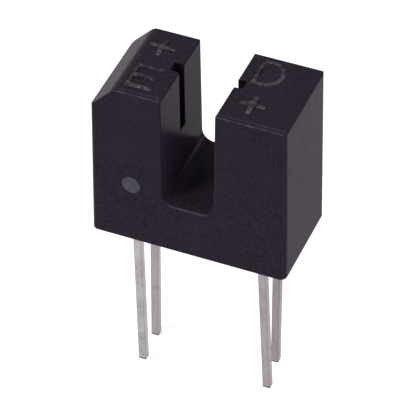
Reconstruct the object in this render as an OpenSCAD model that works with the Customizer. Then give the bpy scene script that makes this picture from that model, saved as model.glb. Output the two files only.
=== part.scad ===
// Slotted optical switch for a circuit board. A U-shaped moulded housing holds an infrared
// emitter in its left tower and a phototransistor in its right tower, and whatever passes
// through the gap between the towers breaks the beam. Millimetres.
// The origin is the middle of the housing's underside, which seats on the board.
// X runs from the emitter tower to the detector tower, Y from front to back, Z up.

/* [Housing] */
// Width of the housing over both towers, at its base
body_w = 11.84; // [11.2:0.02:14]
// Depth of the housing from front to back, at its base
body_d = 6.24; // [5.8:0.1:9]
// Height of the housing above the board
body_h = 10.6; // [10.4:0.02:13]
// How far each outer wall leans in between the base and the top
wall_lean = 0.15; // [0.02:0.01:0.25]
// Radius of the upright corners, at the base
corner_r = 0.4; // [0.3:0.01:0.6]
// Radius of the edges round the top of each tower
top_edge_r = 0.14; // [0.04:0.01:0.2]
// Width of the slanted cut on the emitter tower, which tells the two towers apart
slant_w = 1.55; // [0.5:0.05:1.7]
// Height of the slanted cut
slant_h = 1.62; // [0.5:0.02:1.7]
// Radius of the fold where the slanted cut meets the tower's top
slant_fold_r = 1; // [0.3:0.05:1.5]

/* [Gap] */
// Width of the gap at the top of the towers
gap_w = 3.22; // [2.6:0.02:3.6]
// How far each wall of the gap leans in between the top and the floor
gap_lean = 0.06; // [0:0.01:0.15]
// Thickness of the web under the gap
web_h = 3.24; // [2:0.01:4]
// Radius of the corners where the gap's walls meet its floor
gap_floor_r = 0.75; // [0.3:0.05:1.2]
// Radius that eases the gap's edges on the front and back walls
gap_edge_r = 0.2; // [0.1:0.02:0.4]
// Thickness of the wall between the gap and the light channel
gap_wall = 0.55; // [0.45:0.05:0.7]
// Width of the aperture slot in that wall
slot_w = 0.75; // [0.4:0.05:1.5]
// Length of the aperture slot, down from the top of the tower
slot_len = 4.26; // [3:0.1:5.5]
// How far the middle of the slots lies behind the housing's middle
slot_shift = 0.15; // [0:0.01:0.2]

/* [Optics] */
// Height of the beam above the board
beam_z = 8; // [7.8:0.05:8.5]
// Width of each lens body, front to back
lens_w = 4.4; // [4:0.1:4.6]
// Height of each lens body
lens_h = 5.6; // [4.6:0.1:6.2]
// Height of a lens body's top above the beam
lens_over = 1.5; // [1.2:0.05:1.7]
// Thickness of a lens body behind the lead frame's middle plane
lens_back = 0.8; // [0.55:0.05:0.9]
// Thickness of a lens body in front of that plane, up to the foot of the dome
lens_front = 0.8; // [0.6:0.05:0.85]
// How much narrower a lens body is at its two faces than at its parting line, each side
lens_taper = 0.12; // [0:0.01:0.25]
// Bevel on the two top corners of a lens body
lens_bevel = 0.6; // [0.2:0.05:1]
// Radius of the lens dome
dome_r = 1.1; // [1:0.05:1.4]
// Height of the lens dome above the lens body's face
dome_rise = 0.66; // [0.3:0.02:0.68]
// Clearance round a lens body in its pocket
lens_clear = 0.06; // [0.03:0.01:0.12]
// Clearance round the dome in the light channel
dome_clear = 0.1; // [0.05:0.01:0.3]

/* [Potting] */
// How far the potting stays back from the housing's underside
pot_recess = 0.3; // [0.1:0.05:0.8]

/* [Leads] */
// Distance between the two rows of leads
row_pitch = 7.7; // [7.3:0.01:7.8]
// Distance between the front and the back lead of a row
lead_pitch = 2.54; // [2.3:0.01:2.8]
// Thickness and width of a lead
lead_t = 0.45; // [0.35:0.01:0.5]
// Reach of the emitter's front lead below the housing
emitter_reach = 11.35; // [4:0.1:16]
// Reach of the detector's front lead below the housing
detector_reach = 10.75; // [4:0.1:16]
// How much further each back lead reaches
back_extra = 0.4; // [0:0.05:1.5]
// Bevel round each lead's cut end
tip_bevel = 0.08; // [0.02:0.01:0.15]
// Sideways lean of the emitter's front lead at its tip, towards the gap
emitter_lean = 0.18; // [-0.4:0.01:0.4]
// Sideways lean of the detector's front lead at its tip, away from the gap
detector_lean = 0.44; // [-0.4:0.01:0.6]
// Sideways lean of the emitter's back lead, away from the gap
emitter_back_lean = 0.1; // [-0.4:0.01:0.4]
// Sideways lean of the detector's back lead, towards the gap
detector_back_lean = 0.04; // [-0.4:0.01:0.4]
// Where a lead that leans starts to do so, below the housing
lean_start = 0.4; // [0.2:0.1:1]

/* [Lead frames] */
// Side of the square pad that carries a die
pad_w = 1.3; // [1.1:0.05:1.4]
// Height of the neck that joins the pad to its lead
neck_h = 0.7; // [0.4:0.05:1]
// Height of the head on the other lead, where the bond wire lands
post_h = 0.8; // [0.5:0.05:1]
// Clear space between the pad and that head
post_space = 0.25; // [0.15:0.01:0.3]
// Width added to each side of a lead by the barb that anchors it in its lens body
barb_w = 0.2; // [0.05:0.01:0.3]
// Height of the barb
barb_h = 0.5; // [0.2:0.05:0.8]
// Height of the barb above the underside of the lens body
barb_up = 0.6; // [0.3:0.05:1]

/* [Dies] */
// Side of the emitter die
emitter_die_w = 0.34; // [0.2:0.01:0.4]
// Side of the detector die
detector_die_w = 0.6; // [0.3:0.01:0.9]
// Thickness of both dies
die_t = 0.2; // [0.1:0.01:0.25]
// Thickness of the silver-filled bond under a die
bond_t = 0.03; // [0.02:0.005:0.05]
// How far the bond shows round a die
bond_rim = 0.03; // [0.01:0.005:0.05]
// Mouth of the reflector cup round the emitter die
cup_d = 0.9; // [0.8:0.02:1]
// Floor of the reflector cup
cup_floor_d = 0.64; // [0.62:0.01:0.7]
// Depth of the reflector cup
cup_t = 0.12; // [0.06:0.01:0.2]
// Diameter of a bond wire
wire_d = 0.03; // [0.025:0.005:0.05]
// Rise of a bond wire's loop
wire_rise = 0.22; // [0.15:0.01:0.3]
// Diameter of the flat ball where a wire lands
ball_d = 0.08; // [0.06:0.005:0.1]
// Thickness of that ball
ball_t = 0.03; // [0.02:0.005:0.04]

/* [Hidden] */

EMITTER_SIDE = -1;
DETECTOR_SIDE = 1;
BACK = 1;
FRONT = -1;
// What a cutter reaches past the face that it opens
past = 1;
// What two cutters that follow one edge share
lap = 0.03;
// Facets of a round thing: plenty for a bore or dome, few for a hair-thin wire
round_fn = 64;
wire_fn = 24;

// Half widths of the housing and the gap
half_w = body_w / 2;
half_d = body_d / 2;
half_gap_top = gap_w / 2;
gap_slope = gap_lean / (body_h - web_h);
wall_slope = wall_lean / body_h;

// The lens bodies, in the frame of one tower: x is the distance from the lead frame's middle
// plane towards the gap
lens_top_z = beam_z + lens_over;
lens_low_z = lens_top_z - lens_h;
dome_mid = lens_front + dome_rise - dome_r;
dome_foot_r = sqrt(dome_r * dome_r - pow(lens_front - dome_mid, 2));
channel_front = row_pitch / 2 - half_gap_top - gap_wall;
channel_half = dome_foot_r + dome_clear;
pocket_half = lens_w / 2 + lens_clear;
pocket_back = lens_back + lens_clear;
pocket_front = lens_front + lens_clear;
slot_low_z = body_h - slot_len;

// The gap's floor corners, and where the middle of an eased edge's circle lies
bend_z = web_h + gap_floor_r;
bend_half = half_gap_top - gap_slope * (body_h - bend_z);
ease_mid = 0.94 * gap_edge_r;

// The lead frames, in the same frame
pad_face = lead_t / 2;
pad_half = pad_w / 2;
lead_y = lead_pitch / 2;
post_inner = pad_half + post_space;
barb_low_z = lens_low_z + barb_up;

// The dies
emitter_seat = pad_face - cup_t;
detector_seat = pad_face;
wire_land_y = (post_inner + lead_y + lead_t / 2) / 2;

plastic_colour = [0.17, 0.15, 0.19];
potting_colour = [0.1, 0.1, 0.11];
emitter_epoxy_colour = [0.35, 0.32, 0.5];
detector_epoxy_colour = [0.12, 0.1, 0.12];
tin_colour = [0.72, 0.7, 0.69];
die_colour = [0.35, 0.33, 0.4];
bond_colour = [0.8, 0.8, 0.78];
gold_colour = [0.9, 0.72, 0.3];

// Puts a tower's contents in place: the towers face each other across the gap
module in_tower(side) {
    translate([side * row_pitch / 2, 0, 0])
        mirror([side == DETECTOR_SIDE ? 1 : 0, 0, 0])
            children();
}

// Extrudes an outline drawn in X and Z along Y, evenly about the middle
module along_y(depth) {
    translate([0, depth / 2, 0])
        rotate([90, 0, 0])
            linear_extrude(depth)
                children();
}

// Extrudes an outline drawn in Y and Z along X, from x_low to x_high
module along_x(x_low, x_high) {
    translate([x_low, 0, 0])
        rotate([90, 0, 90])
            linear_extrude(x_high - x_low)
                children();
}

// A wall outline that leans in by lean on both sides
module leaning_outline(half, lean, height) {
    polygon([[-half, 0], [half, 0], [half - lean, height], [-half + lean, height]]);
}

// The outer block: four leaning walls that run tangent into tapered upright corners
module outer_block() {
    corner_x = half_w - corner_r;
    corner_y = half_d - corner_r;
    along_y(2 * corner_y)
        leaning_outline(half_w, wall_lean, body_h);
    along_x(-corner_x, corner_x)
        leaning_outline(half_d, wall_lean, body_h);
    for (sx = [-1, 1], sy = [-1, 1])
        translate([sx * corner_x, sy * corner_y, 0])
            cylinder(r1 = corner_r, r2 = corner_r - wall_lean, h = body_h, $fn = round_fn);
}

// Outline of what is cut away to round one outside corner, which points along +X and +Z
module round_over(r) {
    translate([-r, -r])
        difference() {
            square([r + past, r + past]);
            circle(r = r, $fn = round_fn);
        }
}

// Outline of the gap: leaning walls and rounded floor corners
module gap_outline() {
    mouth_half = half_gap_top + gap_slope * past;
    polygon([
        [-bend_half, bend_z], [bend_half, bend_z],
        [mouth_half, body_h + past], [-mouth_half, body_h + past]
    ]);
    translate([-bend_half + gap_floor_r, web_h])
        square([2 * (bend_half - gap_floor_r), gap_floor_r + past]);
    for (s = [-1, 1])
        translate([s * (bend_half - gap_floor_r), bend_z])
            circle(r = gap_floor_r, $fn = round_fn);
}

// Outline of the slanted cut, with its fold into the tower's top rounded
module slant_outline() {
    slope = slant_h / slant_w;
    angle = atan(slope);
    top_x = -half_w + slant_w;
    mid = [top_x + slant_fold_r * tan(angle / 2), body_h - slant_fold_r];
    polygon([
        [-half_w - past, body_h - slant_h - slope * past],
        [top_x + past, body_h + slope * past],
        [-half_w - past, body_h + slope * past]
    ]);
    difference() {
        polygon([
            mid, mid + (slant_fold_r + past) * [-sin(angle), cos(angle)],
            mid + [0, slant_fold_r + past]
        ]);
        translate(mid)
            circle(r = slant_fold_r, $fn = 2 * round_fn);
    }
}

// Everything that is cut off the outside of the block, looking along Y
module front_cuts() {
    run = body_d + 2 * past;
    along_y(run) {
        gap_outline();
        slant_outline();
        translate([half_w - wall_lean, body_h])
            round_over(top_edge_r);
        translate([half_gap_top, body_h])
            mirror([1, 0])
                round_over(top_edge_r);
        translate([-half_gap_top, body_h])
            round_over(top_edge_r);
    }
}

// The rounds along the top edges at the front and the back
module top_edge_cuts() {
    for (s = [0, 1])
        mirror([0, s, 0])
            along_x(-half_w - past, half_w + past)
                translate([half_d - wall_lean, body_h])
                    round_over(top_edge_r);
}

// Outline of what is cut away to ease an edge that points along +X and +Y. The circle's middle
// lies a little nearer the edge than its radius, so the easing ends in a faint line.
module ease_over() {
    translate([-ease_mid, -ease_mid])
        difference() {
            square([gap_edge_r + past, gap_edge_r + past]);
            circle(r = gap_edge_r, $fn = round_fn);
        }
}

// Half of the eased edge round the gap's mouth at the back wall: up one side of the gap, round
// its floor corner and along the floor to the middle
module half_gap_easing() {
    floor_y = half_d - wall_slope * web_h;
    corner_y = half_d - wall_slope * (web_h + gap_floor_r / 3);
    corner_x = bend_half - gap_floor_r;
    translate([-half_gap_top, half_d - wall_lean, body_h])
        rotate([atan(wall_slope), -atan(gap_slope), 0])
            translate([0, 0, bend_z - body_h - lap])
                linear_extrude(body_h - bend_z + lap + past)
                    ease_over();
    translate([-corner_x, 0, bend_z])
        rotate([-90, 0, 0])
            rotate([0, 0, 90])
                rotate_extrude(angle = 90, $fn = round_fn)
                    translate([gap_floor_r, corner_y])
                        mirror([1, 0])
                            intersection() {
                                ease_over();
                                translate([-gap_edge_r, -gap_edge_r])
                                    square([gap_edge_r + gap_floor_r / 2, gap_edge_r + past]);
                            }
    along_x(-corner_x - lap, lap)
        translate([floor_y, web_h])
            ease_over();
}

// The eased edges round the gap's mouth at the front and the back
module gap_edge_cuts() {
    for (sx = [0, 1], sy = [0, 1])
        mirror([sx, 0, 0])
            mirror([0, sy, 0])
                half_gap_easing();
}

// The stepped hole that takes one lens body from below: a pocket for the body and a
// narrower channel for its dome
module cavity_outline() {
    translate([-pocket_back, -pocket_half])
        square([pocket_back + pocket_front, 2 * pocket_half]);
    translate([pocket_front - lens_clear, -channel_half])
        square([channel_front - pocket_front + lens_clear, 2 * channel_half]);
}

module cavity_cut() {
    translate([0, 0, -past])
        linear_extrude(lens_top_z + past)
            cavity_outline();
}

// The aperture slot, open to the gap, to the channel and at the top of the tower
module slot_cut() {
    translate([channel_front, slot_shift - slot_w / 2, slot_low_z])
        cube([gap_wall + gap_lean + past, slot_w, slot_len + past]);
}

module housing() {
    color(plastic_colour)
        difference() {
            outer_block();
            front_cuts();
            top_edge_cuts();
            gap_edge_cuts();
            for (side = [EMITTER_SIDE, DETECTOR_SIDE])
                in_tower(side) {
                    cavity_cut();
                    slot_cut();
                }
        }
}

// One lead's leg, looking along Y: it leaves its lens body straight, may lean sideways below
// the housing, and is bevelled all round at the cut end
module leg(y, top_z, reach, lean) {
    half = lead_t / 2;
    tip_half = half - tip_bevel;
    // Share of the lean that the leg has where the bevel starts
    bevel_lean = lean * (reach - tip_bevel - lean_start) / (reach - lean_start);
    intersection() {
        translate([0, y, 0])
            along_y(lead_t)
                polygon([
                    [-half, top_z], [half, top_z], [half, -lean_start],
                    [half + bevel_lean, -reach + tip_bevel], [tip_half + lean, -reach],
                    [-tip_half + lean, -reach], [-half + bevel_lean, -reach + tip_bevel],
                    [-half, -lean_start]
                ]);
        along_x(-half - abs(lean) - past, half + abs(lean) + past)
            translate([y, 0])
                polygon([
                    [-half, top_z], [half, top_z], [half, -reach + tip_bevel],
                    [tip_half, -reach], [-tip_half, -reach], [-half, -reach + tip_bevel]
                ]);
    }
}

// A flat stretch of lead frame, given by its corners in Y and Z
module frame_plate(y_low, z_low, y_high, z_high) {
    translate([-lead_t / 2, y_low, z_low])
        cube([lead_t, y_high - y_low, z_high - z_low]);
}

// The barb that anchors a lead in the epoxy
module barb(y) {
    frame_plate(y - lead_t / 2 - barb_w, barb_low_z, y + lead_t / 2 + barb_w, barb_low_z + barb_h);
}

// The front lead of a tower, with the pad that carries the die
module pad_lead(reach, lean) {
    y = FRONT * lead_y;
    neck_high_z = beam_z + neck_h / 2;
    leg(y, neck_high_z, reach, lean);
    barb(y);
    frame_plate(y, beam_z - neck_h / 2, 0, neck_high_z);
    frame_plate(-pad_half, beam_z - pad_half, pad_half, beam_z + pad_half);
}

// The back lead of a tower, with the head where the bond wire lands
module post_lead(reach, lean) {
    y = BACK * lead_y;
    post_high_z = beam_z + post_h / 2;
    leg(y, post_high_z, reach, lean);
    barb(y);
    frame_plate(post_inner, beam_z - post_h / 2, y + lead_t / 2, post_high_z);
}

// The dished reflector that is coined into the emitter's pad
module cup_cut() {
    translate([emitter_seat, 0, beam_z])
        rotate([0, 90, 0])
            cylinder(d1 = cup_floor_d, d2 = cup_d, h = cup_t, $fn = round_fn);
    translate([pad_face, 0, beam_z])
        rotate([0, 90, 0])
            cylinder(d = cup_d, h = past, $fn = round_fn);
}

// A square block that stands on the lead frame, centred on the beam
module on_beam(seat, w, t) {
    translate([seat, -w / 2, beam_z - w / 2])
        cube([t, w, w]);
}

// One bond wire: a flat ball on the die, a loop and a flat landing on the head. The loop is an
// arc over the chord between the two landings.
module bond_wire(die_top) {
    from_x = die_top + ball_t / 2;
    to_x = pad_face + ball_t / 2;
    chord = norm([wire_land_y, from_x - to_x]);
    tilt = atan2(from_x - to_x, wire_land_y);
    arc_r = (chord * chord / 4 + wire_rise * wire_rise) / (2 * wire_rise);
    half_turn = asin(chord / 2 / arc_r);
    difference() {
        union() {
            for (land = [[die_top, 0], [pad_face, wire_land_y]])
                translate([land[0], land[1], beam_z])
                    rotate([0, 90, 0])
                        cylinder(d = ball_d, h = ball_t, $fn = wire_fn);
            translate([(from_x + to_x) / 2, wire_land_y / 2, beam_z])
                rotate([0, 0, tilt])
                    translate([wire_rise - arc_r, 0, 0])
                        rotate([0, 0, -half_turn])
                            rotate_extrude(angle = 2 * half_turn, $fn = round_fn)
                                translate([arc_r, 0])
                                    circle(d = wire_d, $fn = wire_fn);
        }
        translate([pad_face - past, post_inner, beam_z - post_h / 2])
            cube([past, post_h, post_h]);
        translate([die_top - past, -ball_d, beam_z - ball_d])
            cube([past, 2 * ball_d, 2 * ball_d]);
    }
}

// Half section of the dome, with the beam's axis upright; its root is sunk in the lens body
module dome_outline() {
    root = lens_front / 2;
    intersection() {
        translate([0, dome_mid])
            circle(r = dome_r, $fn = round_fn);
        translate([0, root])
            square([dome_r + past, dome_mid + dome_r + past - root]);
    }
}

module lens_solid() {
    half = lens_w / 2;
    side = half - lens_taper;
    intersection() {
        translate([0, 0, lens_low_z])
            linear_extrude(lens_h)
                polygon([
                    [-lens_back, -side], [0, -half], [lens_front, -side],
                    [lens_front, side], [0, half], [-lens_back, side]
                ]);
        along_x(-lens_back - past, lens_front + past)
            polygon([
                [-half, lens_low_z], [half, lens_low_z], [half, lens_top_z - lens_bevel],
                [half - lens_bevel, lens_top_z], [lens_bevel - half, lens_top_z],
                [-half, lens_top_z - lens_bevel]
            ]);
    }
    translate([0, 0, beam_z])
        rotate([0, 90, 0])
            rotate_extrude($fn = round_fn)
                dome_outline();
}

// The potting that closes a cavity from below and holds the lens body against its roof
module potting_solid() {
    translate([0, 0, pot_recess])
        linear_extrude(lens_low_z - pot_recess)
            cavity_outline();
}

// The pieces of each tower, in that tower's frame
module emitter_cathode() {
    difference() {
        pad_lead(emitter_reach, emitter_lean);
        cup_cut();
    }
}

module emitter_anode() {
    post_lead(emitter_reach + back_extra, -emitter_back_lean);
}

module emitter_chip() {
    on_beam(emitter_seat + bond_t, emitter_die_w, die_t);
}

module emitter_glue() {
    on_beam(emitter_seat, emitter_die_w + 2 * bond_rim, bond_t);
}

module emitter_wire() {
    bond_wire(emitter_seat + bond_t + die_t);
}

module detector_collector() {
    pad_lead(detector_reach, -detector_lean);
}

module detector_post() {
    post_lead(detector_reach + back_extra, detector_back_lean);
}

module detector_chip() {
    on_beam(detector_seat + bond_t, detector_die_w, die_t);
}

module detector_glue() {
    on_beam(detector_seat, detector_die_w + 2 * bond_rim, bond_t);
}

module detector_wire() {
    bond_wire(detector_seat + bond_t + die_t);
}

module emitter_lens_body() {
    color(emitter_epoxy_colour)
        in_tower(EMITTER_SIDE)
            difference() {
                lens_solid();
                emitter_cathode();
                emitter_anode();
                emitter_chip();
                emitter_glue();
                emitter_wire();
            }
}

module detector_lens_body() {
    color(detector_epoxy_colour)
        in_tower(DETECTOR_SIDE)
            difference() {
                lens_solid();
                detector_collector();
                detector_post();
                detector_chip();
                detector_glue();
                detector_wire();
            }
}

module emitter_potting() {
    color(potting_colour)
        in_tower(EMITTER_SIDE)
            difference() {
                potting_solid();
                emitter_cathode();
                emitter_anode();
            }
}

module detector_potting() {
    color(potting_colour)
        in_tower(DETECTOR_SIDE)
            difference() {
                potting_solid();
                detector_collector();
                detector_post();
            }
}

module emitter_anode_lead() {
    color(tin_colour)
        in_tower(EMITTER_SIDE)
            emitter_anode();
}

module emitter_cathode_lead() {
    color(tin_colour)
        in_tower(EMITTER_SIDE)
            emitter_cathode();
}

module detector_collector_lead() {
    color(tin_colour)
        in_tower(DETECTOR_SIDE)
            detector_collector();
}

module detector_emitter_lead() {
    color(tin_colour)
        in_tower(DETECTOR_SIDE)
            detector_post();
}

module emitter_die() {
    color(die_colour)
        in_tower(EMITTER_SIDE)
            emitter_chip();
}

module detector_die() {
    color(die_colour)
        in_tower(DETECTOR_SIDE)
            detector_chip();
}

module emitter_die_bond() {
    color(bond_colour)
        in_tower(EMITTER_SIDE)
            emitter_glue();
}

module detector_die_bond() {
    color(bond_colour)
        in_tower(DETECTOR_SIDE)
            detector_glue();
}

module emitter_bond_wire() {
    color(gold_colour)
        in_tower(EMITTER_SIDE)
            emitter_wire();
}

module detector_bond_wire() {
    color(gold_colour)
        in_tower(DETECTOR_SIDE)
            detector_wire();
}

housing();
emitter_lens_body();
detector_lens_body();
emitter_potting();
detector_potting();
emitter_anode_lead();
emitter_cathode_lead();
detector_collector_lead();
detector_emitter_lead();
emitter_die();
detector_die();
emitter_die_bond();
detector_die_bond();
emitter_bond_wire();
detector_bond_wire();
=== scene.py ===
"""Looks of a slotted optical switch: a black moulded housing with raised pole marks, two
epoxy lens bodies behind aperture slots, and four tinned leads.

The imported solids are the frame. This script gives each of them its finish, adds the marks
on the tower tops, the printed dot and the mould's witness lines, and sets up the studio.
"""

import logging
import math
from dataclasses import dataclass, field
from enum import Enum
from typing import Any, Sequence

import bmesh
import bpy
from mathutils import Matrix, Vector


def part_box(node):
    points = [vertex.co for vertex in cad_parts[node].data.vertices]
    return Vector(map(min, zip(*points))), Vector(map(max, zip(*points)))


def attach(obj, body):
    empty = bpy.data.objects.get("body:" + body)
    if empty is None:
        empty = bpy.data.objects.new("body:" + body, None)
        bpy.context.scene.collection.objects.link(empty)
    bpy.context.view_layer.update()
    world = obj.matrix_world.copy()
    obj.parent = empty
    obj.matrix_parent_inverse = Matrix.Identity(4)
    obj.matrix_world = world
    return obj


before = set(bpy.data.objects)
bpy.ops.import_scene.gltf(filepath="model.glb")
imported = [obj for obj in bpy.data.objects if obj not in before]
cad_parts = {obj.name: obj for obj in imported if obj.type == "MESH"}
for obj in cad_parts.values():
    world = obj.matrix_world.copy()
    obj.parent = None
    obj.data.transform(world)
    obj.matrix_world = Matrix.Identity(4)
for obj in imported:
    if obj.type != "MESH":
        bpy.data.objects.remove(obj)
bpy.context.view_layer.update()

LOG = logging.getLogger("slotted_switch")
MM = 0.001
ROOT = "root"
# How far a normal has to lean both up and out, as the product of the two, to be on a rubbed edge that carries
# a painted highlight
RUBBED_AND_GLINT_RANGE = (0.39, 0.5)
# The same for an upright corner, as the share across times the square of the share forwards
UPRIGHT_RANGE = (0.35, 0.385)

Colour = tuple[float, float, float]
Point2 = tuple[float, float]
Box = tuple[Vector, Vector]


class Slot(Enum):
    """The record's material slots."""

    HOUSING = "housing"
    EMITTER_EPOXY = "emitter_epoxy"
    DETECTOR_EPOXY = "detector_epoxy"
    POTTING = "potting"
    TINNED_LEAD = "tinned_lead"
    SEMICONDUCTOR = "semiconductor"
    DIE_BOND = "die_bond"
    GOLD_WIRE = "gold_wire"


class Side(Enum):
    """The two towers, by the direction of X that they stand in."""

    EMITTER = -1.0
    DETECTOR = 1.0


class Glyph(Enum):
    """The raised marks on the tower tops."""

    PLUS = "plus"
    EMITTER_LETTER = "letter_e"
    DETECTOR_LETTER = "letter_d"


class ShaderTree:
    """A material's node tree, with short calls to add and join nodes."""

    def __init__(self, name: str) -> None:
        """Makes an empty node material with its shader and output.

        Args:
            name: The material's name.
        """
        self.material = bpy.data.materials.new(name)
        self.material.use_nodes = True
        self.tree = self.material.node_tree
        self.tree.nodes.clear()
        self.shader = self.add("ShaderNodeBsdfPrincipled")
        output = self.add("ShaderNodeOutputMaterial")
        self.join(self.shader.outputs["BSDF"], output.inputs["Surface"])
        self.scaled_point = self._scaled_point()

    def add(self, kind: str, **settings: Any) -> bpy.types.Node:
        """Adds a node.

        Args:
            kind: The node's type name.
            settings: Its properties.

        Returns:
            The new node.
        """
        node = self.tree.nodes.new(kind)
        for name, value in settings.items():
            setattr(node, name, value)
        return node

    def join(self, source: bpy.types.NodeSocket, target: bpy.types.NodeSocket) -> None:
        """Links one socket to another."""
        self.tree.links.new(source, target)

    def _scaled_point(self) -> bpy.types.NodeSocket:
        """Returns the object's own coordinates in millimetres."""
        point = self.add("ShaderNodeTexCoord")
        scale = self.add("ShaderNodeVectorMath", operation="SCALE")
        scale.inputs["Scale"].default_value = 1.0 / MM
        self.join(point.outputs["Object"], scale.inputs[0])
        return scale.outputs["Vector"]

    def stretched_point(self, stretch: Sequence[float]) -> bpy.types.NodeSocket:
        """Returns the coordinates in millimetres, scaled along each axis.

        Args:
            stretch: The factor along X, Y and Z.

        Returns:
            The socket that carries the scaled coordinates.
        """
        node = self.add("ShaderNodeVectorMath", operation="MULTIPLY")
        node.inputs[1].default_value = stretch
        self.join(self.scaled_point, node.inputs[0])
        return node.outputs["Vector"]

    def noise(self, per_mm: float, detail: float = 3.0, point: bpy.types.NodeSocket | None = None,
              roughness: float = 0.5) -> bpy.types.NodeSocket:
        """Adds a noise texture.

        Args:
            per_mm: How many cells it has in a millimetre.
            detail: Its octaves.
            point: The coordinates, or None for the object's own in millimetres.
            roughness: How strong the finer octaves are.

        Returns:
            The noise's value socket.
        """
        node = self.add("ShaderNodeTexNoise")
        node.inputs["Scale"].default_value = per_mm
        node.inputs["Detail"].default_value = detail
        node.inputs["Roughness"].default_value = roughness
        self.join(point or self.scaled_point, node.inputs["Vector"])
        return node.outputs["Fac"]

    def spread(self, value: bpy.types.NodeSocket, low: float, high: float,
               start: float = 0.3, end: float = 0.7) -> bpy.types.NodeSocket:
        """Maps a value from one range to another.

        Args:
            value: The value's socket.
            low: The result at start.
            high: The result at end.
            start: Where the value's range begins.
            end: Where it ends.

        Returns:
            The mapped value's socket.
        """
        node = self.add("ShaderNodeMapRange")
        node.inputs["From Min"].default_value = start
        node.inputs["From Max"].default_value = end
        node.inputs["To Min"].default_value = low
        node.inputs["To Max"].default_value = high
        self.join(value, node.inputs["Value"])
        return node.outputs["Result"]

    def blend(self, share: bpy.types.NodeSocket, first: Colour | bpy.types.NodeSocket,
              second: Colour | bpy.types.NodeSocket) -> bpy.types.NodeSocket:
        """Mixes two colours.

        Args:
            share: How much of the second colour shows.
            first: A colour or a colour socket.
            second: A colour or a colour socket.

        Returns:
            The mixed colour's socket.
        """
        node = self.add("ShaderNodeMix", data_type="RGBA")
        self.join(share, node.inputs[0])
        for value, socket in ((first, node.inputs[6]), (second, node.inputs[7])):
            if isinstance(value, bpy.types.NodeSocket):
                self.join(value, socket)
            else:
                socket.default_value = (*value, 1.0)
        return node.outputs[2]

    def soft_edges(self, radius_mm: float) -> bpy.types.NodeSocket:
        """Returns a normal that rounds sharp edges by a small radius."""
        node = self.add("ShaderNodeBevel", samples=6)
        node.inputs["Radius"].default_value = radius_mm * MM
        return node.outputs["Normal"]

    def maths(self, operation: str, first: bpy.types.NodeSocket,
              second: bpy.types.NodeSocket | float = 0.0) -> bpy.types.NodeSocket:
        """Adds a sum on one or two values.

        Args:
            operation: The Math node's operation.
            first: The first value.
            second: The second value, a socket or a number.

        Returns:
            The result's socket.
        """
        node = self.add("ShaderNodeMath", operation=operation)
        self.join(first, node.inputs[0])
        if isinstance(second, bpy.types.NodeSocket):
            self.join(second, node.inputs[1])
        else:
            node.inputs[1].default_value = second
        return node.outputs[0]

    def parts(self, vector: bpy.types.NodeSocket) -> bpy.types.bpy_prop_collection:
        """Returns a vector's X, Y and Z sockets, by name."""
        node = self.add("ShaderNodeSeparateXYZ")
        self.join(vector, node.inputs[0])
        return node.outputs

    def upper_edges(self, rounded: bpy.types.NodeSocket, all_round: bool) -> bpy.types.NodeSocket:
        """Finds the upper edges, which handling rubs and where a highlight is painted.

        Args:
            rounded: The rounded normal.
            all_round: Whether edges along Y count as well as those along X.

        Returns:
            A socket that is 1 on such an edge and 0 elsewhere.
        """
        parts = self.parts(rounded)
        outward = self.maths("ABSOLUTE", parts["Y"])
        if all_round:
            outward = self.maths("MAXIMUM", outward, self.maths("ABSOLUTE", parts["X"]))
        upward = self.maths("MAXIMUM", parts["Z"], 0.0)
        return self.spread(self.maths("MULTIPLY", outward, upward), 0.0, 1.0, *RUBBED_AND_GLINT_RANGE)

    def upright_edges(self, rounded: bpy.types.NodeSocket) -> bpy.types.NodeSocket:
        """Finds the front half of each upright corner, where a faint painted highlight runs.

        Args:
            rounded: The rounded normal.

        Returns:
            A socket that is 1 on that line and 0 elsewhere.
        """
        parts = self.parts(rounded)
        squared = self.maths("MULTIPLY", parts["Y"], parts["Y"])
        leaning = self.maths("MULTIPLY", squared, self.maths("ABSOLUTE", parts["X"]))
        return self.spread(leaning, 0.0, 1.0, *UPRIGHT_RANGE)

    def within(self, axis: str, middle_mm: float, reach_mm: float) -> bpy.types.NodeSocket:
        """Marks the places near one plane, and its mirror image for X.

        Args:
            axis: X, Y or Z.
            middle_mm: Where the plane is on that axis.
            reach_mm: How far from it a place may be.

        Returns:
            A socket that is 1 at such a place and 0 elsewhere.
        """
        value = self.parts(self.scaled_point)[axis]
        if axis == "X":
            value = self.maths("ABSOLUTE", value)
        node = self.add("ShaderNodeMath", operation="COMPARE")
        self.join(value, node.inputs[0])
        node.inputs[1].default_value = middle_mm
        node.inputs[2].default_value = reach_mm
        return node.outputs[0]

    def bump(self, height: bpy.types.NodeSocket, depth_mm: float, strength: float,
             under: bpy.types.NodeSocket | None = None) -> bpy.types.NodeSocket:
        """Adds a bump.

        Args:
            height: The height's socket.
            depth_mm: How deep a height of 1 is.
            strength: The share of it that shows.
            under: The normal that the bump lies on.

        Returns:
            The bumped normal's socket.
        """
        node = self.add("ShaderNodeBump")
        node.inputs["Distance"].default_value = depth_mm * MM
        node.inputs["Strength"].default_value = strength
        self.join(height, node.inputs["Height"])
        if under is not None:
            self.join(under, node.inputs["Normal"])
        return node.outputs["Normal"]

    def feed(self, **sources: Any) -> None:
        """Sets or links the shader's inputs.

        Args:
            sources: A number, a colour or a socket for each input, with underscores for
                the spaces in the input's name.
        """
        for name, value in sources.items():
            socket = self.shader.inputs[name.replace("_", " ")]
            if isinstance(value, bpy.types.NodeSocket):
                self.join(value, socket)
            elif isinstance(value, tuple):
                socket.default_value = (*value, 1.0)
            else:
                socket.default_value = value


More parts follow.
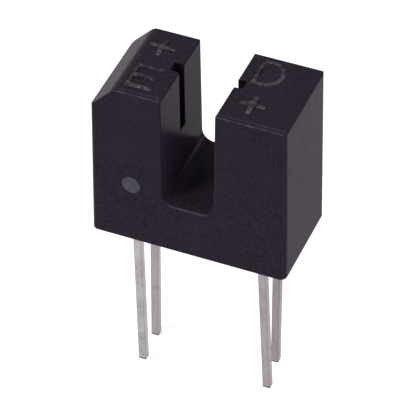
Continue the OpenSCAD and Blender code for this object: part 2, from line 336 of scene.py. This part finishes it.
@dataclass(frozen=True)
class MouldedPlastic:
    """Satin black plastic as it leaves the mould, with a fine spark-eroded grain."""

    name: str
    deep: Colour
    pale: Colour
    wear_and_highlight: Colour
    roughness_low: float = 0.2
    roughness_high: float = 0.3
    gloss: float = 0.0126
    bloom: float = 0.06
    grain_per_mm: float = 16.0
    grain_depth_mm: float = 0.003
    edge_radius_mm: float = 0.05
    rubbed_and_glinting_all_round: bool = False
    rub_and_glint_low: float = 0.3
    rub_and_glint_high: float = 1.0
    rub_and_glint_per_mm: float = 2.2
    polish_and_highlight: float = 0.0
    painted_light_behind: float = 1.0
    corner_highlight: float = 0.16
    slot_shade: Colour | None = None

    def material(self) -> bpy.types.Material:
        """Builds the material."""
        tree = ShaderTree(self.name)
        rounded = tree.soft_edges(self.edge_radius_mm)
        clouds = tree.noise(0.8, 4.0)
        specks = tree.noise(7.0, 2.0)
        colour = tree.blend(tree.spread(clouds, 0.1, 0.35), self.deep, self.pale)
        colour = tree.blend(tree.spread(specks, 0.0, 0.75), colour, self.pale)
        # Wear and painted highlight: a pale tone on the upper edges, broken up by noise.
        rub_and_glint = tree.spread(tree.noise(self.rub_and_glint_per_mm, 3.0), self.rub_and_glint_low, self.rub_and_glint_high, 0.35, 0.65)
        # Painted light: the pale edge tone fades towards the back, as if lit from the front.
        if self.painted_light_behind < 1.0:
            back = tree.parts(tree.add("ShaderNodeTexCoord").outputs["Generated"])["Y"]
            fade = tree.spread(back, 1.0, self.painted_light_behind, 0.15, 0.95)
            rub_and_glint = tree.maths("MULTIPLY", rub_and_glint, fade)
        edges = tree.upper_edges(rounded, self.rubbed_and_glinting_all_round)
        edges = tree.maths("MAXIMUM", edges, self.polish_and_highlight)
        colour = tree.blend(tree.maths("MULTIPLY", edges, rub_and_glint), colour, self.wear_and_highlight)
        # Painted highlight: a faint pale line down the front half of each upright corner.
        corner_highlight = tree.maths("MULTIPLY", tree.upright_edges(rounded), self.corner_highlight)
        colour = tree.blend(corner_highlight, colour, self.wear_and_highlight)
        # Painted highlight: a fine pale line on the tower tops just behind the front edge.
        ridge_highlight = tree.maths("MULTIPLY", tree.within("Y", -2.7, 0.055), tree.within("Z", 10.6, 0.02))
        ridge_highlight = tree.maths("MULTIPLY", ridge_highlight, tree.spread(rub_and_glint, 0.0, 0.5, self.rub_and_glint_low, self.rub_and_glint_high))
        colour = tree.blend(ridge_highlight, colour, self.wear_and_highlight)
        if self.slot_shade is not None:
            # Painted shade: the walls inside the aperture slots are darkened.
            colour = tree.blend(self._in_slot(tree), colour, self.slot_shade)
            # Painted highlight: a pale line along the gap's floor corners.
            colour = tree.blend(self._floor_highlight(tree, rounded), colour, self.wear_and_highlight)
        grain = tree.noise(self.grain_per_mm, 3.0)
        flow = tree.noise(1.6, 2.0, tree.stretched_point((1.0, 1.0, 0.35)))
        normal = tree.bump(grain, self.grain_depth_mm, 0.35, rounded)
        normal = tree.bump(flow, 0.02, 0.12, normal)
        tree.feed(
            Base_Color=colour,
            Roughness=tree.spread(tree.noise(3.0, 3.0), self.roughness_low, self.roughness_high),
            Specular_IOR_Level=self.gloss,
            Sheen_Weight=self.bloom,
            Sheen_Roughness=0.35,
            Sheen_Tint=(1.0, 0.3, 1.0),
            Normal=normal,
        )
        return tree.material

    @staticmethod
    def _floor_highlight(tree: ShaderTree, rounded: bpy.types.NodeSocket) -> bpy.types.NodeSocket:
        """Finds the painted highlight along the gap's floor corners, which fades towards the front.

        Args:
            tree: The material's tree.
            rounded: The rounded normal.

        Returns:
            A socket that is 1 on that line at the back and 0 elsewhere.
        """
        parts = tree.parts(rounded)
        leaning = tree.maths("MULTIPLY", tree.maths("MULTIPLY", parts["X"], parts["X"]), parts["Z"])
        line = tree.spread(leaning, 0.0, 1.0, 0.355, 0.38)
        back = tree.spread(tree.parts(tree.scaled_point)["Y"], 0.0, 1.0, -1.2, 2.0)
        corner = tree.maths("MULTIPLY", tree.within("X", 1.2, 0.5), tree.within("Z", 3.6, 0.4))
        return tree.maths("MULTIPLY", tree.maths("MULTIPLY", line, back), corner)

    @staticmethod
    def _in_slot(tree: ShaderTree) -> bpy.types.NodeSocket:
        """Marks the walls inside the aperture slots, where hardly any light gets and shade is painted.

        Args:
            tree: The material's tree.

        Returns:
            A socket that is 1 on those walls and 0 elsewhere.
        """
        across = tree.maths("MULTIPLY", tree.within("X", 2.0, 0.37), tree.within("Y", 0.15, 0.4))
        return tree.maths("MULTIPLY", across, tree.within("Z", 8.43, 2.13))


@dataclass(frozen=True)
class TinPlate:
    """Matt tin over a stamped lead, streaked along the lead by the plating bath."""

    name: str
    bright: Colour
    dull: Colour
    stain_and_shade: Colour
    bare_metal_and_shade: Colour
    roughness_low: float = 0.32
    roughness_high: float = 0.5

    def material(self) -> bpy.types.Material:
        """Builds the material."""
        tree = ShaderTree(self.name)
        rounded = tree.soft_edges(0.04)
        streaks = tree.noise(5.0, 4.0, tree.stretched_point((1.0, 1.0, 0.08)))
        patches = tree.noise(1.1, 3.0)
        colour = tree.blend(tree.spread(streaks, 0.0, 1.0), self.dull, self.bright)
        colour = tree.blend(tree.spread(patches, 0.0, 0.5, 0.5, 0.75), colour, self.stain_and_shade)
        flecks = tree.noise(13.0, 2.0)
        colour = tree.blend(tree.spread(flecks, 0.0, 0.4, 0.45, 0.65), colour, self.stain_and_shade)
        place = tree.parts(tree.scaled_point)
        # Darker towards +X and towards +Y.
        colour = tree.blend(tree.spread(place["X"], 0.0, 0.42, -3.9, 3.9), colour, self.stain_and_shade)
        colour = tree.blend(tree.spread(place["Y"], 0.0, 0.28, -1.0, 1.0), colour, self.stain_and_shade)
        # Painted shade: darker towards the top of each lead, under the housing.
        colour = tree.blend(tree.spread(place["Z"], 0.0, 0.4, -2.0, 0.0), colour, self.stain_and_shade)
        # Bare metal on the cut ends, with painted shade on the tips and upright edges.
        colour = tree.blend(self._bare_metal_and_shade(tree), colour, self.bare_metal_and_shade)
        crystals = tree.noise(24.0, 2.0)
        normal = tree.bump(streaks, 0.012, 0.3, rounded)
        normal = tree.bump(crystals, 0.004, 0.4, normal)
        tree.feed(
            Base_Color=colour,
            Metallic=1.0,
            Roughness=tree.spread(streaks, self.roughness_low, self.roughness_high),
            Normal=normal,
        )
        return tree.material

    @staticmethod
    def _bare_metal_and_shade(tree: ShaderTree) -> bpy.types.NodeSocket:
        """Finds the cut ends, where bare metal shows under painted shade, and more faintly the upright edges,
        which it darkens too.

        Args:
            tree: The material's tree.

        Returns:
            A socket that is 1 on a cut end and 0 on plain tin.
        """
        facing = tree.parts(tree.soft_edges(0.1))
        along = tree.parts(tree.add("ShaderNodeTexCoord").outputs["Generated"])["Z"]
        cut = tree.spread(along, 1.0, 0.0, 0.006, 0.011)
        corner = tree.maths("ABSOLUTE", tree.maths("MULTIPLY", facing["X"], facing["Y"]))
        return tree.maths("MAXIMUM", cut, tree.spread(corner, 0.0, 0.5, 0.15, 0.45))


@dataclass(frozen=True)
class TintedEpoxy:
    """Transfer-moulded epoxy of a lens body: glossy, with faint flow lines."""

    name: str
    body: Colour
    haze: Colour
    clear: float

    def material(self) -> bpy.types.Material:
        """Builds the material."""
        tree = ShaderTree(self.name)
        flow = tree.noise(1.4, 3.0, tree.stretched_point((1.0, 1.0, 2.2)))
        colour = tree.blend(tree.spread(flow, 0.0, 1.0), self.body, self.haze)
        normal = tree.bump(tree.noise(6.0, 2.0), 0.003, 0.25, tree.soft_edges(0.05))
        tree.feed(
            Base_Color=colour,
            Roughness=tree.spread(flow, 0.06, 0.16),
            IOR=1.55,
            Transmission_Weight=self.clear,
            Normal=normal,
        )
        return tree.material


@dataclass(frozen=True)
class CastResin:
    """Poured resin or a filled adhesive, which sets with a slightly uneven face."""

    name: str
    body: Colour
    filler: Colour
    roughness: float
    filler_per_mm: float

    def material(self) -> bpy.types.Material:
        """Builds the material."""
        tree = ShaderTree(self.name)
        grains = tree.noise(self.filler_per_mm, 2.0)
        waves = tree.noise(0.9, 2.0)
        colour = tree.blend(tree.spread(grains, 0.0, 1.0, 0.45, 0.7), self.body, self.filler)
        normal = tree.bump(waves, 0.12, 0.5)
        normal = tree.bump(grains, 0.006, 0.4, normal)
        tree.feed(
            Base_Color=colour,
            Roughness=tree.spread(waves, self.roughness - 0.08, self.roughness + 0.08),
            Normal=normal,
        )
        return tree.material


@dataclass(frozen=True)
class FineMetal:
    """Drawn gold wire, or the polished face of a semiconductor die."""

    name: str
    body: Colour
    shade: Colour
    roughness: float
    per_mm: float

    def material(self) -> bpy.types.Material:
        """Builds the material."""
        tree = ShaderTree(self.name)
        cells = tree.noise(self.per_mm, 3.0)
        tree.feed(
            Base_Color=tree.blend(tree.spread(cells, 0.0, 1.0), self.body, self.shade),
            Metallic=0.95,
            Roughness=tree.spread(cells, self.roughness, self.roughness + 0.12),
            Normal=tree.bump(cells, 0.002, 0.3),
        )
        return tree.material


@dataclass(frozen=True)
class PadInk:
    """Grey pad-printing ink, thin enough for the plastic's grain to show."""

    name: str
    ink: Colour
    thin: Colour

    def material(self) -> bpy.types.Material:
        """Builds the material."""
        tree = ShaderTree(self.name)
        patches = tree.noise(5.0, 4.0)
        tree.feed(
            Base_Color=tree.blend(tree.spread(patches, 0.0, 1.0, 0.35, 0.7), self.ink, self.thin),
            Roughness=tree.spread(patches, 0.45, 0.6),
            Specular_IOR_Level=0.08,
            Normal=tree.bump(tree.noise(16.0, 3.0), 0.004, 0.4),
        )
        return tree.material


@dataclass
class Finishes:
    """Every finish of the part, made once."""

    plastic: bpy.types.Material = field(init=False)
    raised: bpy.types.Material = field(init=False)
    shade: bpy.types.Material = field(init=False)
    ink: bpy.types.Material = field(init=False)
    by_slot: dict[Slot, bpy.types.Material] = field(init=False)

    def __post_init__(self) -> None:
        """Builds the materials."""
        # The worn colour is the pale tone of rubbed edges and of painted highlights.
        deep, pale, wear_and_highlight = (0.011, 0.0082, 0.0135), (0.033, 0.0262, 0.0388), (0.078, 0.07, 0.084)
        self.plastic = MouldedPlastic(
            "housing_plastic", deep, pale, wear_and_highlight, slot_shade=(0.008, 0.004, 0.01)
        ).material()
        # The marks' pale tone is partly wear and partly painted highlight, fading towards the back as painted
        # light.
        self.raised = MouldedPlastic(
            "raised_mark_plastic", deep, pale, (0.24, 0.225, 0.25), edge_radius_mm=0.06,
            rubbed_and_glinting_all_round=True, rub_and_glint_low=0.0, rub_and_glint_per_mm=4.0, painted_light_behind=0.55, polish_and_highlight=0.32,
        ).material()
        # Near-black strips of painted shade for the witness lines.
        self.shade = MouldedPlastic(
            "witness_line", (0.004, 0.003, 0.005), (0.006, 0.005, 0.007), (0.006, 0.005, 0.007),
            edge_radius_mm=0.005,
        ).material()
        self.ink = PadInk("pad_ink", (0.075, 0.073, 0.1), (0.05, 0.048, 0.068)).material()
        self.by_slot = {
            Slot.HOUSING: self.plastic,
            Slot.EMITTER_EPOXY: TintedEpoxy(
                "emitter_epoxy", (0.05, 0.045, 0.11), (0.08, 0.075, 0.15), 0.35
            ).material(),
            Slot.DETECTOR_EPOXY: TintedEpoxy(
                "detector_epoxy", (0.008, 0.006, 0.009), (0.014, 0.01, 0.014), 0.0
            ).material(),
            Slot.POTTING: CastResin(
                "potting_resin", (0.012, 0.012, 0.014), (0.03, 0.03, 0.033), 0.5, 14.0
            ).material(),
            Slot.TINNED_LEAD: TinPlate(
                "tinned_lead", (0.46, 0.445, 0.45), (0.36, 0.34, 0.345), (0.2, 0.165, 0.18),
                (0.07, 0.055, 0.062),
            ).material(),
            Slot.SEMICONDUCTOR: FineMetal(
                "semiconductor", (0.1, 0.1, 0.14), (0.2, 0.18, 0.24), 0.15, 30.0
            ).material(),
            Slot.DIE_BOND: CastResin(
                "die_bond_silver", (0.45, 0.45, 0.44), (0.7, 0.7, 0.68), 0.4, 60.0
            ).material(),
            Slot.GOLD_WIRE: FineMetal(
                "gold_wire", (0.9, 0.6, 0.2), (0.75, 0.48, 0.15), 0.18, 40.0
            ).material(),
        }


def node_box(name: str) -> Box:
    """Returns a CAD node's lowest and highest corners."""
    low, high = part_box(name)
    return Vector(low), Vector(high)


def dress(piece: bpy.types.Object, material: bpy.types.Material) -> None:
    """Gives a piece one finish.

    Args:
        piece: The mesh object.
        material: Its finish.
    """
    slots = piece.data.materials
    if len(slots) == 0:
        slots.append(material)
    for place in range(len(slots)):
        slots[place] = material


def seat(piece: bpy.types.Object) -> bpy.types.Object:
    """Rides a new piece on the part.

    Args:
        piece: The new piece.

    Returns:
        The piece.
    """
    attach(piece, ROOT)
    return piece


def prism(name: str, outline: Sequence[Vector], rise: Vector, bevel: float,
          hole: Sequence[Vector] = ()) -> bpy.types.Object:
    """Builds a closed prism over a flat outline and rounds its upper rim.

    Args:
        name: The object's name.
        outline: The outline's corners in order.
        rise: The way and height that the prism rises.
        bevel: Width of the rounding, or 0 for none.
        hole: The corners of a hole, one for each corner of the outline.

    Returns:
        The new object.
    """
    shape = bmesh.new()
    rims = [rim for rim in (outline, hole) if rim]
    low = [[shape.verts.new(corner) for corner in rim] for rim in rims]
    high = [[shape.verts.new(corner + rise) for corner in rim] for rim in rims]
    after = [*range(1, len(outline)), 0]
    for level in (low, high):
        if hole:
            for near, far in enumerate(after):
                shape.faces.new((level[0][near], level[0][far], level[1][far], level[1][near]))
        else:
            shape.faces.new(level[0])
    for below, above in zip(low, high):
        for near, far in enumerate(after):
            shape.faces.new((below[near], below[far], above[far], above[near]))
    if bevel > 0.0:
        rim_edges = [shape.edges.get((rim[near], rim[far])) for rim in high for near, far in enumerate(after)]
        bmesh.ops.bevel(
            shape, geom=rim_edges, offset=bevel, offset_type="OFFSET",
            segments=4, profile=0.5, affect="EDGES", clamp_overlap=True,
        )
    bmesh.ops.recalc_face_normals(shape, faces=shape.faces)
    mesh = bpy.data.meshes.new(name)
    shape.to_mesh(mesh)
    shape.free()
    piece = bpy.data.objects.new(name, mesh)
    bpy.context.scene.collection.objects.link(piece)
    return piece


@dataclass
class PoleMark:
    """A raised mark on top of a tower, moulded with it."""

    glyph: Glyph
    side: Side
    centre: Point2
    top_z: float
    width: float = 1.6 * MM
    height: float = 1.9 * MM
    stroke: float = 0.25 * MM
    slim: float = 0.6
    middle_reach: float = 0.8
    bow_share: float = 0.6
    bow_steps: int = 18
    rise: float = 0.07 * MM
    root: float = 0.02 * MM
    round_edge: float = 0.06 * MM

    def _plus(self) -> tuple[list[Point2], list[Point2]]:
        """Returns the plus sign's outline, and no hole."""
        a, s = self.width / 2, self.stroke / 2
        return [(-a, -s), (-s, -s), (-s, -a), (s, -a), (s, -s), (a, -s),
                (a, s), (s, s), (s, a), (-s, a), (-s, s), (-a, s)], []

    def _letter_e(self) -> tuple[list[Point2], list[Point2]]:
        """Returns the outline of the emitter tower's letter, and no hole."""
        a, b, s = self.width / 2, self.height / 2, self.stroke
        stem = self.slim * s - a
        reach = self.middle_reach * a
        return [(-a, -b), (a, -b), (a, s - b), (stem, s - b), (stem, -s / 2), (reach, -s / 2),
                (reach, s / 2), (stem, s / 2), (stem, b - s), (a, b - s), (a, b), (-a, b)], []

    def _letter_d(self) -> tuple[list[Point2], list[Point2]]:
        """Returns the outline and the hole of the detector tower's letter."""
        a, b, s = self.width / 2, self.height / 2, self.stroke
        bend = self.width * self.bow_share
        turns = [math.pi * (step / self.bow_steps - 0.5) for step in range(self.bow_steps + 1)]
        outer = [(a - bend + bend * math.cos(turn), b * math.sin(turn)) for turn in turns]
        inner = [(a - bend + (bend - s) * math.cos(turn), (b - s) * math.sin(turn)) for turn in turns]
        return [(-a, -b), *outer, (-a, b)], [(s - a, s - b), *inner, (s - a, b - s)]

    def build(self, material: bpy.types.Material) -> bpy.types.Object:
        """Builds and dresses the mark.

        Args:
            material: The raised marks' plastic.

        Returns:
            The raised mark.
        """
        outline, hole = {
            Glyph.PLUS: self._plus,
            Glyph.EMITTER_LETTER: self._letter_e,
            Glyph.DETECTOR_LETTER: self._letter_d,
        }[self.glyph]()
        base = Vector((*self.centre, self.top_z - self.root))
        rims = [[base + Vector((x, y, 0.0)) for x, y in rim] for rim in (outline, hole)]
        name = f"{self.side.name.lower()}_{self.glyph.value}_mark"
        rise = Vector((0.0, 0.0, self.rise + self.root))
        piece = prism(name, rims[0], rise, self.round_edge, rims[1])
        dress(piece, material)
        return seat(piece)


@dataclass
class Housing:
    """The moulded housing, its pole marks, printed dot and witness lines."""

    finishes: Finishes
    slot_near: float = -0.12 * MM
    slot_low: float = 6.34 * MM
    gap_half_top: float = 1.61 * MM
    gap_lean: float = 0.06 * MM
    web_top: float = 3.24 * MM
    dot_centre: Point2 = (-3.4 * MM, 4.05 * MM)
    dot_radius: float = 0.55 * MM
    ink_thickness: float = 0.012 * MM
    wall_lean: float = 0.15 * MM
    witness_length: float = 0.5 * MM
    witness_width: float = 0.045 * MM
    witness_proud: float = 0.004 * MM
    box: Box = field(init=False)

    def __post_init__(self) -> None:
        """Takes the housing's place from the frame."""
        self.box = node_box("housing")

    def build(self) -> None:
        """Dresses the CAD housing and builds what sits on it."""
        dress(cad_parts["housing"], self.finishes.plastic)
        for mark in self._marks():
            mark.build(self.finishes.raised)
        self._dot()
        for side in Side:
            self._witness(side)

    def _marks(self) -> list[PoleMark]:
        """Returns the four pole marks, where the mould puts them."""
        top = self.box[1].z
        return [
            PoleMark(Glyph.EMITTER_LETTER, Side.EMITTER, (-3.2 * MM, -1.33 * MM), top, 1.56 * MM, 1.98 * MM),
            PoleMark(Glyph.PLUS, Side.EMITTER, (-3.28 * MM, 1.47 * MM), top, 1.55 * MM),
            PoleMark(Glyph.DETECTOR_LETTER, Side.DETECTOR, (3.15 * MM, 1.49 * MM), top, 1.6 * MM, 2.2 * MM),
            PoleMark(Glyph.PLUS, Side.DETECTOR, (3.17 * MM, -1.3 * MM), top, 1.55 * MM),
        ]

    def _front_y(self, z: float) -> float:
        """Returns where the leaning front wall is at height z."""
        share = z / self.box[1].z
        return self.box[0].y + self.wall_lean * share

    def _dot(self) -> None:
        """Builds the printed dot on the front of the emitter tower."""
        corners = 40
        x, z = self.dot_centre
        loop = []
        for corner in range(corners):
            turn = 2.0 * math.pi * corner / corners
            height = z + self.dot_radius * math.sin(turn)
            loop.append(Vector((x + self.dot_radius * math.cos(turn), self._front_y(height), height)))
        piece = prism("printed_dot", loop, Vector((0.0, -self.ink_thickness, 0.0)), 0.0)
        dress(piece, self.finishes.ink)
        seat(piece)

    def _gap_x(self, z: float) -> float:
        """Returns the gap's half width at height z."""
        return self.gap_half_top - self.gap_lean * (self.box[1].z - z) / (self.box[1].z - self.web_top)

    def _witness(self, side: Side) -> None:
        """Builds the fine line that the slot's core leaves below the slot, as a near-black strip of painted
        shade.

        Args:
            side: The tower whose gap wall has the line.
        """
        low = self.slot_low - self.witness_length
        near = self.slot_near
        far = near + self.witness_width
        corners = ((near, low), (far, low), (far, self.slot_low), (near, self.slot_low))
        loop = [Vector((side.value * self._gap_x(z), y, z)) for y, z in corners]
        rise = Vector((-side.value * self.witness_proud, 0.0, 0.0))
        piece = prism(f"{side.name.lower()}_slot_witness", loop, rise, 0.0)
        dress(piece, self.finishes.shade)
        seat(piece)


@dataclass
class OpticalUnit:
    """One tower's insides: the lens body, its die, bond and wire, and the potting below."""

    side: Side
    finishes: Finishes

    def build(self) -> None:
        """Dresses the unit's CAD nodes."""
        prefix = self.side.name.lower()
        epoxy = Slot.EMITTER_EPOXY if self.side is Side.EMITTER else Slot.DETECTOR_EPOXY
        finish_of = {
            f"{prefix}_lens_body": epoxy,
            f"{prefix}_potting": Slot.POTTING,
            f"{prefix}_die": Slot.SEMICONDUCTOR,
            f"{prefix}_die_bond": Slot.DIE_BOND,
            f"{prefix}_bond_wire": Slot.GOLD_WIRE,
        }
        for name, slot in finish_of.items():
            dress(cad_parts[name], self.finishes.by_slot[slot])


@dataclass
class LeadSet:
    """The four stamped and tinned leads."""

    finishes: Finishes
    names: tuple[str, ...] = (
        "emitter_anode_lead", "emitter_cathode_lead",
        "detector_collector_lead", "detector_emitter_lead",
    )

    def build(self) -> None:
        """Dresses the CAD leads."""
        for name in self.names:
            dress(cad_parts[name], self.finishes.by_slot[Slot.TINNED_LEAD])

    def lowest(self) -> float:
        """Returns the height of the lowest lead tip."""
        return min(node_box(name)[0].z for name in self.names)


@dataclass
class SoftBox:
    """A square area lamp that faces the part."""

    name: str
    azimuth: float
    elevation: float
    distance: float
    size: float
    level: float
    target: Vector

    def build(self) -> None:
        """Makes the lamp. A level of 1 alone would light a facing white wall to white."""
        lamp = bpy.data.lights.new(self.name, "AREA")
        lamp.shape = "SQUARE"
        lamp.size = self.size
        lamp.energy = self.level * (math.pi * self.distance) ** 2
        holder = bpy.data.objects.new(self.name, lamp)
        holder.location = self.target + self.distance * direction(self.azimuth, self.elevation)
        holder.rotation_euler = (holder.location - self.target).to_track_quat("Z", "Y").to_euler()
        bpy.context.scene.collection.objects.link(holder)


def direction(azimuth: float, elevation: float) -> Vector:
    """Returns the unit vector from the part towards a place round it.

    Args:
        azimuth: Degrees from the front, positive towards the right.
        elevation: Degrees above the horizon.

    Returns:
        The unit vector.
    """
    turn, rise = math.radians(azimuth), math.radians(elevation)
    return Vector((math.sin(turn) * math.cos(rise), -math.cos(turn) * math.cos(rise), math.sin(rise)))


@dataclass
class Studio:
    """A plain white floor, a white surround and soft lamps."""

    floor_z: float
    target: Vector = field(default_factory=lambda: Vector((0.0, 0.0, 2.0 * MM)))
    floor_half: float = 0.6
    surround: float = 0.53
    background: float = 1.0

    def build(self) -> None:
        """Builds the floor, the world and the lamps."""
        self._floor()
        self._world()
        for lamp in (
            SoftBox("key_lamp", -38.0, 42.0, 0.16, 0.03, 0.39, self.target),
            SoftBox("right_lamp", 75.0, 35.0, 0.2, 0.12, 0.25, self.target),
            SoftBox("left_lamp", -85.0, 38.0, 0.2, 0.12, 0.05, self.target),
        ):
            lamp.build()

    def _seen_white(self, tree: bpy.types.NodeTree) -> bpy.types.NodeSocket:
        """Adds the test for a ray that shows the background, directly or in a gloss.

        Args:
            tree: The node tree that needs it.

        Returns:
            A socket that is 1 for such a ray.
        """
        path = tree.nodes.new("ShaderNodeLightPath")
        total = path.outputs["Is Camera Ray"]
        for name in ("Is Glossy Ray", "Is Transmission Ray"):
            node = tree.nodes.new("ShaderNodeMath")
            node.operation = "MAXIMUM"
            tree.links.new(total, node.inputs[0])
            tree.links.new(path.outputs[name], node.inputs[1])
            total = node.outputs[0]
        return total

    def _world(self) -> None:
        """Makes the surround: white where it is seen, softer where it lights."""
        world = bpy.data.worlds.new("surround")
        world.use_nodes = True
        tree = world.node_tree
        tree.nodes.clear()
        light = tree.nodes.new("ShaderNodeBackground")
        light.inputs["Strength"].default_value = self.surround
        seen = tree.nodes.new("ShaderNodeBackground")
        seen.inputs["Strength"].default_value = self.background
        for node in (light, seen):
            node.inputs["Color"].default_value = (1.0, 1.0, 1.0, 1.0)
        mix = tree.nodes.new("ShaderNodeMixShader")
        tree.links.new(self._seen_white(tree), mix.inputs[0])
        tree.links.new(light.outputs[0], mix.inputs[1])
        tree.links.new(seen.outputs[0], mix.inputs[2])
        output = tree.nodes.new("ShaderNodeOutputWorld")
        tree.links.new(mix.outputs[0], output.inputs["Surface"])
        bpy.context.scene.world = world

    def _floor(self) -> None:
        """Makes the floor, a pale matt sheet that keeps the part's shadow."""
        half = self.floor_half
        corners = [Vector((x, y, self.floor_z)) for x, y in ((-half, -half), (half, -half), (half, half), (-half, half))]
        mesh = bpy.data.meshes.new("floor")
        mesh.from_pydata([tuple(c) for c in corners], [], [(0, 1, 2, 3)])
        floor = bpy.data.objects.new("floor", mesh)
        bpy.context.scene.collection.objects.link(floor)
        material = bpy.data.materials.new("floor_paper")
        material.use_nodes = True
        tree = material.node_tree
        paper = tree.nodes["Principled BSDF"]
        paper.inputs["Base Color"].default_value = (0.86, 0.86, 0.86, 1.0)
        paper.inputs["Roughness"].default_value = 0.9
        paper.inputs["Specular IOR Level"].default_value = 0.0
        glow = tree.nodes.new("ShaderNodeEmission")
        glow.inputs["Strength"].default_value = 0.5
        add = tree.nodes.new("ShaderNodeAddShader")
        tree.links.new(paper.outputs["BSDF"], add.inputs[0])
        tree.links.new(glow.outputs["Emission"], add.inputs[1])
        mix = tree.nodes.new("ShaderNodeMixShader")
        tree.links.new(self._seen_white(tree), mix.inputs[0])
        tree.links.new(paper.outputs["BSDF"], mix.inputs[1])
        tree.links.new(add.outputs[0], mix.inputs[2])
        tree.links.new(mix.outputs[0], tree.nodes["Material Output"].inputs["Surface"])
        floor.data.materials.append(material)


@dataclass
class PhotoCamera:
    """The camera at the photograph's viewing angle."""

    azimuth: float = 22.511
    elevation: float = 42.232
    roll: float = -0.243
    focal_px: float = 2956.9
    frame_px: float = 416.0
    distance: float = 169.412 * MM
    aside: float = -0.005 * MM
    above: float = 0.668 * MM

    def build(self) -> None:
        """Makes the camera and looks through it."""
        data = bpy.data.cameras.new("photo_camera")
        data.sensor_width = 36.0
        data.lens = self.focal_px / self.frame_px * data.sensor_width
        data.clip_start = 0.01
        data.clip_end = 10.0
        back = direction(self.azimuth, self.elevation)
        turn = math.radians(self.azimuth)
        right = Vector((math.cos(turn), math.sin(turn), 0.0))
        up = back.cross(right)
        camera = bpy.data.objects.new("photo_camera", data)
        camera.location = back * self.distance + right * self.aside + up * self.above
        tilt = math.radians(self.roll)
        rolled_right = right * math.cos(tilt) + up * math.sin(tilt)
        rolled_up = up * math.cos(tilt) - right * math.sin(tilt)
        camera.matrix_world = axes_matrix(rolled_right, rolled_up, back, camera.location)
        bpy.context.scene.collection.objects.link(camera)
        bpy.context.scene.camera = camera


def axes_matrix(x_axis: Vector, y_axis: Vector, z_axis: Vector, place: Vector) -> Matrix:
    """Returns the matrix that turns an object to three axes and puts it in a place.

    Args:
        x_axis: Where its X points.
        y_axis: Where its Y points.
        z_axis: Where its Z points.
        place: Where its origin goes.

    Returns:
        The object's matrix.
    """
    turned = Matrix((x_axis, y_axis, z_axis)).transposed().to_4x4()
    return Matrix.Translation(place) @ turned


def main() -> None:
    """Builds the part's looks and its studio, piece by piece."""
    logging.basicConfig(level=logging.INFO, format="%(message)s")
    finishes = Finishes()
    leads = LeadSet(finishes)
    for piece in (
        Housing(finishes),
        OpticalUnit(Side.EMITTER, finishes),
        OpticalUnit(Side.DETECTOR, finishes),
        leads,
        Studio(leads.lowest()),
        PhotoCamera(),
    ):
        piece.build()
        LOG.info("built %s", type(piece).__name__)
    bpy.context.scene.view_settings.view_transform = "Standard"


if __name__ == "__main__":
    main()
